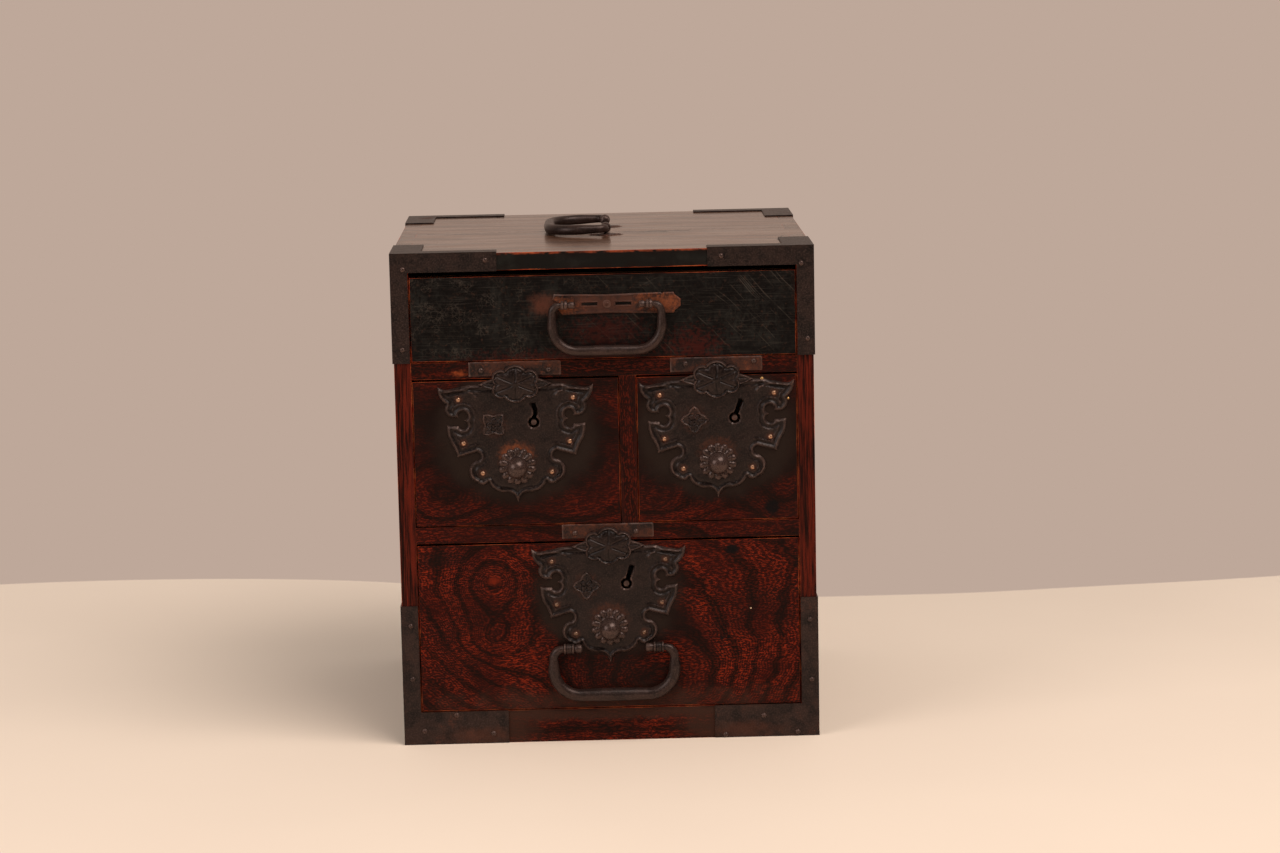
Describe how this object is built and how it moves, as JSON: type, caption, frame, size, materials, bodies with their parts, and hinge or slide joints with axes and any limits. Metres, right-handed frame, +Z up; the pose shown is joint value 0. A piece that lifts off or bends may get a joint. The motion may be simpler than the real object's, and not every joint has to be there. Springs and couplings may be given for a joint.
{
  "type": "small tansu chest",
  "caption": "Small box-jointed wooden chest of drawers with iron corner straps, cusped lock plates with ball knobs, forged bail handles and a carrying bail on top.",
  "frame": {"origin": "centre of the underside of the case, on the surface that it stands on", "axes": "+Z up; the drawers face -Y and open towards -Y; +X is to the right as the front is seen"},
  "size_m": [0.302, 0.3004, 0.3673],
  "materials": {
    "lacquered_keyaki": "old glossy brown-black lacquer over coarse ring-porous grain, worn orange at the edges",
    "lacquered_drawer_fronts": "red-brown lacquer darkened by age over flame-figured grain",
    "plain_softwood": "bare softwood, aged pale brown",
    "wrought_iron": "forged iron with a brown-black patina and rust at the seats"
  },
  "bodies": {
    "case": {"left_side": "lacquered_keyaki", "right_side": "lacquered_keyaki", "top_board": "lacquered_keyaki", "base_rail": "lacquered_keyaki", "upper_rail": "lacquered_keyaki", "lower_rail": "lacquered_keyaki", "divider_post": "lacquered_keyaki", "bottom_board": "plain_softwood", "back_planks": "plain_softwood", "bottom_runners": "plain_softwood", "upper_shelf": "plain_softwood", "lower_shelf": "plain_softwood", "partition": "plain_softwood", "front_top_irons": "wrought_iron", "front_bottom_irons": "wrought_iron", "back_irons": "wrought_iron", "strike_plates": "wrought_iron", "carry_handle_eyes": "wrought_iron", "carry_handle_washers": "wrought_iron"},
    "top_drawer": {"top_drawer_front": "lacquered_drawer_fronts", "top_drawer_sides": "plain_softwood", "top_drawer_back": "plain_softwood", "top_drawer_bottom": "plain_softwood", "top_drawer_handle_eyes": "wrought_iron", "top_drawer_handle_plate": "wrought_iron"},
    "left_drawer": {"left_drawer_front": "lacquered_drawer_fronts", "left_drawer_sides": "plain_softwood", "left_drawer_back": "plain_softwood", "left_drawer_bottom": "plain_softwood", "left_lock_plate": "wrought_iron", "left_lock_boss": "wrought_iron", "left_knob": "wrought_iron", "left_lock_case": "wrought_iron"},
    "right_drawer": {"right_drawer_front": "lacquered_drawer_fronts", "right_drawer_sides": "plain_softwood", "right_drawer_back": "plain_softwood", "right_drawer_bottom": "plain_softwood", "right_lock_plate": "wrought_iron", "right_lock_boss": "wrought_iron", "right_knob": "wrought_iron", "right_lock_case": "wrought_iron"},
    "bottom_drawer": {"bottom_drawer_front": "lacquered_drawer_fronts", "bottom_drawer_sides": "plain_softwood", "bottom_drawer_back": "plain_softwood", "bottom_drawer_bottom": "plain_softwood", "bottom_lock_plate": "wrought_iron", "bottom_lock_boss": "wrought_iron", "bottom_knob": "wrought_iron", "bottom_lock_case": "wrought_iron", "bottom_drawer_handle_eyes": "wrought_iron"},
    "top_handle": {"top_drawer_handle": "wrought_iron"},
    "bottom_handle": {"bottom_drawer_handle": "wrought_iron"},
    "carry_bail": {"carry_handle": "wrought_iron"},
    "left_bolt": {"left_lock_bolt": "wrought_iron"},
    "left_crest": {"left_lock_crest": "wrought_iron"},
    "right_bolt": {"right_lock_bolt": "wrought_iron"},
    "right_crest": {"right_lock_crest": "wrought_iron"},
    "bottom_bolt": {"bottom_lock_bolt": "wrought_iron"},
    "bottom_crest": {"bottom_lock_crest": "wrought_iron"}
  },
  "joints": [
    {"name": "top_drawer_slide", "type": "slide", "parent": "case", "child": "top_drawer", "axis": [0, -1, 0], "range_m": [0, 0.24]},
    {"name": "left_drawer_slide", "type": "slide", "parent": "case", "child": "left_drawer", "axis": [0, -1, 0], "range_m": [0, 0.24]},
    {"name": "right_drawer_slide", "type": "slide", "parent": "case", "child": "right_drawer", "axis": [0, -1, 0], "range_m": [0, 0.24]},
    {"name": "bottom_drawer_slide", "type": "slide", "parent": "case", "child": "bottom_drawer", "axis": [0, -1, 0], "range_m": [0, 0.24]},
    {"name": "top_handle_swing", "type": "hinge", "parent": "top_drawer", "child": "top_handle", "pos_m": [0.0025, -0.1455, 0.3199], "axis": [-1, 0, 0], "range_deg": [0, 170]},
    {"name": "bottom_handle_swing", "type": "hinge", "parent": "bottom_drawer", "child": "bottom_handle", "pos_m": [0.0025, -0.1455, 0.0698], "axis": [-1, 0, 0], "range_deg": [0, 170]},
    {"name": "carry_handle_swing", "type": "hinge", "parent": "case", "child": "carry_bail", "pos_m": [0.004, 0, 0.3635], "axis": [0, 1, 0], "range_deg": [0, 182]},
    {"name": "left_bolt_throw", "type": "slide", "parent": "left_drawer", "child": "left_bolt", "axis": [0, 0, 1], "range_m": [0, 0.007]},
    {"name": "right_bolt_throw", "type": "slide", "parent": "right_drawer", "child": "right_bolt", "axis": [0, 0, 1], "range_m": [0, 0.007]},
    {"name": "bottom_bolt_throw", "type": "slide", "parent": "bottom_drawer", "child": "bottom_bolt", "axis": [0, 0, 1], "range_m": [0, 0.007]},
    {"name": "left_crest_turn", "type": "hinge", "parent": "left_drawer", "child": "left_crest", "pos_m": [-0.0801, -0.1413, 0.2347], "axis": [0, 1, 0], "continuous": true},
    {"name": "right_crest_turn", "type": "hinge", "parent": "right_drawer", "child": "right_crest", "pos_m": [0.0639, -0.1413, 0.2347], "axis": [0, 1, 0], "continuous": true},
    {"name": "bottom_crest_turn", "type": "hinge", "parent": "bottom_drawer", "child": "bottom_crest", "pos_m": [-0.0162, -0.1413, 0.1152], "axis": [0, 1, 0], "continuous": true}
  ]
}
